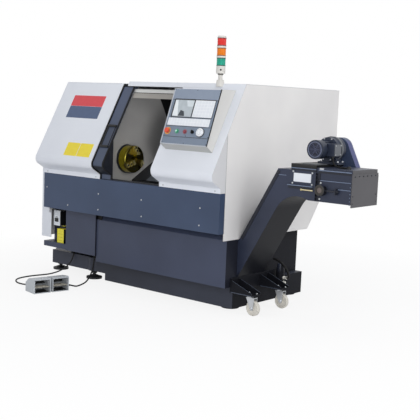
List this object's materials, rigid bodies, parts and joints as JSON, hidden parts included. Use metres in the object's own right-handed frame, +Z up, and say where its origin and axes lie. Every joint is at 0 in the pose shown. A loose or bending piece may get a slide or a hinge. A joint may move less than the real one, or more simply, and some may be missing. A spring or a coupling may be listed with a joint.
{
  "type": "cnc turning lathe",
  "caption": "Slant-bed turning lathe with a formed sheet-metal enclosure, sliding door, control panel, signal tower, docked chip conveyor and foot switch.",
  "frame": {"origin": "on the floor under the middle of the outer box", "axes": "+X along the spindle towards the conveyor's head, +Y from the operator's side to the back, +Z up"},
  "size_m": [3.0764, 2.148, 2.052],
  "materials": {
    "white_enamel": "fine textured powder coat",
    "grey_enamel": "fine textured powder coat",
    "navy_enamel": "semi-gloss powder coat",
    "slate_enamel": "semi-gloss powder coat",
    "door_enamel": "semi-gloss powder coat",
    "base_enamel": "enamel on iron casting",
    "wall_steel": "matt grey enamel",
    "machine_iron": "machined and enamelled casting",
    "ground_steel": "ground",
    "chuck_steel": "ground steel with a film of rust preventive",
    "motor_enamel": "enamel",
    "black_rubber": "matt",
    "black_iron": "oxide black",
    "window_glass": "clear safety glass",
    "grey_plastic": "moulded",
    "yellow_plastic": "moulded",
    "panel_plastic": "printed membrane",
    "screen_glass": "display behind a clear cover",
    "red_plastic": "moulded",
    "green_plastic": "moulded",
    "amber_plastic": "moulded",
    "black_plastic": "moulded",
    "belt_steel": "hinged steel plates",
    "chute_enamel": "matt enamel",
    "zinc": "zinc plated",
    "wheel_nylon": "moulded nylon",
    "pedal_alloy": "cast and painted"
  },
  "bodies": {
    "machine": {"left_end_cover": "white_enamel", "left_front_cover": "white_enamel", "right_front_cover": "white_enamel", "control_housing": "white_enamel", "roof_cover": "white_enamel", "door_rails": "white_enamel", "right_side_panel": "grey_enamel", "rear_panel": "grey_enamel", "belt_panel": "navy_enamel", "chain_guard": "navy_enamel", "chip_tank": "slate_enamel", "lower_left_panel": "slate_enamel", "conveyor_trough": "slate_enamel", "base_casting": "base_enamel", "splash_wall": "wall_steel", "way_cover": "wall_steel", "headstock": "machine_iron", "spindle_bearings": "ground_steel", "spindle_motor": "motor_enamel", "conveyor_gearmotor": "motor_enamel", "drive_belt": "black_rubber", "pedal_cord_1": "black_rubber", "pedal_cord_2": "black_rubber", "leveling_feet": "black_iron", "lubricator": "grey_plastic", "tower_pole": "grey_plastic", "oil_bottle": "yellow_plastic", "panel_fascia": "panel_plastic", "screen": "screen_glass", "tower_red": "red_plastic", "tower_green": "green_plastic", "tower_amber": "amber_plastic", "conveyor_belt": "belt_steel", "chute_plate": "chute_enamel", "pedal_housing": "pedal_alloy"},
    "door": {"door_panel": "door_enamel", "door_window": "window_glass"},
    "spindle": {"spindle": "ground_steel", "chuck_body": "chuck_steel"},
    "jaw_1": {"chuck_jaw_1": "chuck_steel"},
    "jaw_2": {"chuck_jaw_2": "chuck_steel"},
    "jaw_3": {"chuck_jaw_3": "chuck_steel"},
    "motor_rotor": {"motor_pulley": "ground_steel"},
    "saddle": {"saddle": "machine_iron"},
    "cross_slide": {"cross_slide": "machine_iron"},
    "turret": {"turret_disc": "ground_steel"},
    "ballscrew": {"z_ballscrew": "ground_steel"},
    "estop": {"estop_button": "red_plastic"},
    "start": {"start_button": "green_plastic"},
    "stop": {"stop_button": "red_plastic"},
    "selector": {"mode_selector": "black_plastic"},
    "handwheel": {"handwheel": "grey_plastic"},
    "cabinet_door": {"cabinet_door": "grey_enamel"},
    "conveyor_shaft": {"conveyor_shaft": "ground_steel"},
    "fork_1": {"caster_fork_1": "zinc"},
    "fork_2": {"caster_fork_2": "zinc"},
    "wheel_1": {"caster_wheel_1": "wheel_nylon"},
    "wheel_2": {"caster_wheel_2": "wheel_nylon"},
    "treadle_1": {"pedal_1": "pedal_alloy"},
    "treadle_2": {"pedal_2": "pedal_alloy"}
  },
  "joints": [
    {"name": "door_slide", "type": "slide", "parent": "machine", "child": "door", "axis": [1, 0, 0], "range_m": [0, 0.52]},
    {"name": "spindle_turn", "type": "hinge", "parent": "machine", "child": "spindle", "pos_m": [-0.88475, -0.10133, 1.05], "axis": [1, 0, 0], "continuous": true},
    {"name": "jaw_1_slide", "type": "slide", "parent": "spindle", "child": "jaw_1", "axis": [0, 0, 1], "range_m": [-0.004, 0.004]},
    {"name": "jaw_2_slide", "type": "slide", "parent": "spindle", "child": "jaw_2", "axis": [0, 0.866, -0.5], "range_m": [-0.004, 0.004]},
    {"name": "jaw_3_slide", "type": "slide", "parent": "spindle", "child": "jaw_3", "axis": [0, -0.866, -0.5], "range_m": [-0.004, 0.004]},
    {"name": "motor_turn", "type": "hinge", "parent": "machine", "child": "motor_rotor", "pos_m": [-1.38475, 0.32867, 0.425], "axis": [1, 0, 0], "continuous": true},
    {"name": "saddle_slide", "type": "slide", "parent": "machine", "child": "saddle", "axis": [1, 0, 0], "range_m": [-0.17, 0.1]},
    {"name": "cross_slide_move", "type": "slide", "parent": "saddle", "child": "cross_slide", "axis": [0, 0.866, 0.5], "range_m": [-0.08, 0.06]},
    {"name": "turret_index", "type": "hinge", "parent": "cross_slide", "child": "turret", "pos_m": [-0.38475, 0.14982, 1.195], "axis": [1, 0, 0], "continuous": true},
    {"name": "ballscrew_turn", "type": "hinge", "parent": "machine", "child": "ballscrew", "pos_m": [-0.08475, 0.31982, 0.96232], "axis": [1, 0, 0], "continuous": true},
    {"name": "estop_press", "type": "slide", "parent": "machine", "child": "estop", "axis": [0, 0.9397, -0.342], "range_m": [0, 0.004], "stiffness_N_per_m": 800, "springref_m": -0.004},
    {"name": "start_press", "type": "slide", "parent": "machine", "child": "start", "axis": [0, 0.9397, -0.342], "range_m": [0, 0.003], "stiffness_N_per_m": 500, "springref_m": -0.004},
    {"name": "stop_press", "type": "slide", "parent": "machine", "child": "stop", "axis": [0, 0.9397, -0.342], "range_m": [0, 0.003], "stiffness_N_per_m": 500, "springref_m": -0.004},
    {"name": "selector_turn", "type": "hinge", "parent": "machine", "child": "selector", "pos_m": [0.34675, -0.56728, 1.33244], "axis": [0, -0.9397, 0.342], "range_deg": [-45, 45]},
    {"name": "handwheel_turn", "type": "hinge", "parent": "machine", "child": "handwheel", "pos_m": [0.42075, -0.56728, 1.33244], "axis": [0, -0.9397, 0.342], "continuous": true},
    {"name": "cabinet_door_hinge", "type": "hinge", "parent": "machine", "child": "cabinet_door", "pos_m": [-0.69875, 1.05367, 1.3], "axis": [0, 0, 1], "range_deg": [0, 110]},
    {"name": "conveyor_drive", "type": "hinge", "parent": "machine", "child": "conveyor_shaft", "pos_m": [1.29925, -0.12133, 0.983], "axis": [0, 1, 0], "continuous": true},
    {"name": "caster_swivel_1", "type": "hinge", "parent": "machine", "child": "fork_1", "pos_m": [0.75325, -0.31633, 0.142], "axis": [0, 0, 1], "continuous": true},
    {"name": "caster_roll_1", "type": "hinge", "parent": "fork_1", "child": "wheel_1", "pos_m": [0.78325, -0.31633, 0.058], "axis": [0, 1, 0], "continuous": true},
    {"name": "caster_swivel_2", "type": "hinge", "parent": "machine", "child": "fork_2", "pos_m": [0.75325, 0.05367, 0.142], "axis": [0, 0, 1], "continuous": true},
    {"name": "caster_roll_2", "type": "hinge", "parent": "fork_2", "child": "wheel_2", "pos_m": [0.78325, 0.05367, 0.058], "axis": [0, 1, 0], "continuous": true},
    {"name": "treadle_1_press", "type": "hinge", "parent": "machine", "child": "treadle_1", "pos_m": [-0.88823, -0.98011, 0.034], "axis": [0.2079, 0.9781, 0], "range_deg": [0, 12], "stiffness_Nm_per_rad": 6, "springref_deg": -14.32},
    {"name": "treadle_2_press", "type": "hinge", "parent": "machine", "child": "treadle_2", "pos_m": [-0.85455, -0.82165, 0.034], "axis": [0.2079, 0.9781, 0], "range_deg": [0, 12], "stiffness_Nm_per_rad": 6, "springref_deg": -14.32}
  ],
  "couplings": [
    {"joint": "jaw_2_slide", "follows": "jaw_1_slide", "ratio": 1},
    {"joint": "jaw_3_slide", "follows": "jaw_1_slide", "ratio": 1},
    {"joint": "motor_turn", "follows": "spindle_turn", "ratio": 1.4667},
    {"joint": "ballscrew_turn", "follows": "saddle_slide", "rad_per_m": 628.32}
  ]
}
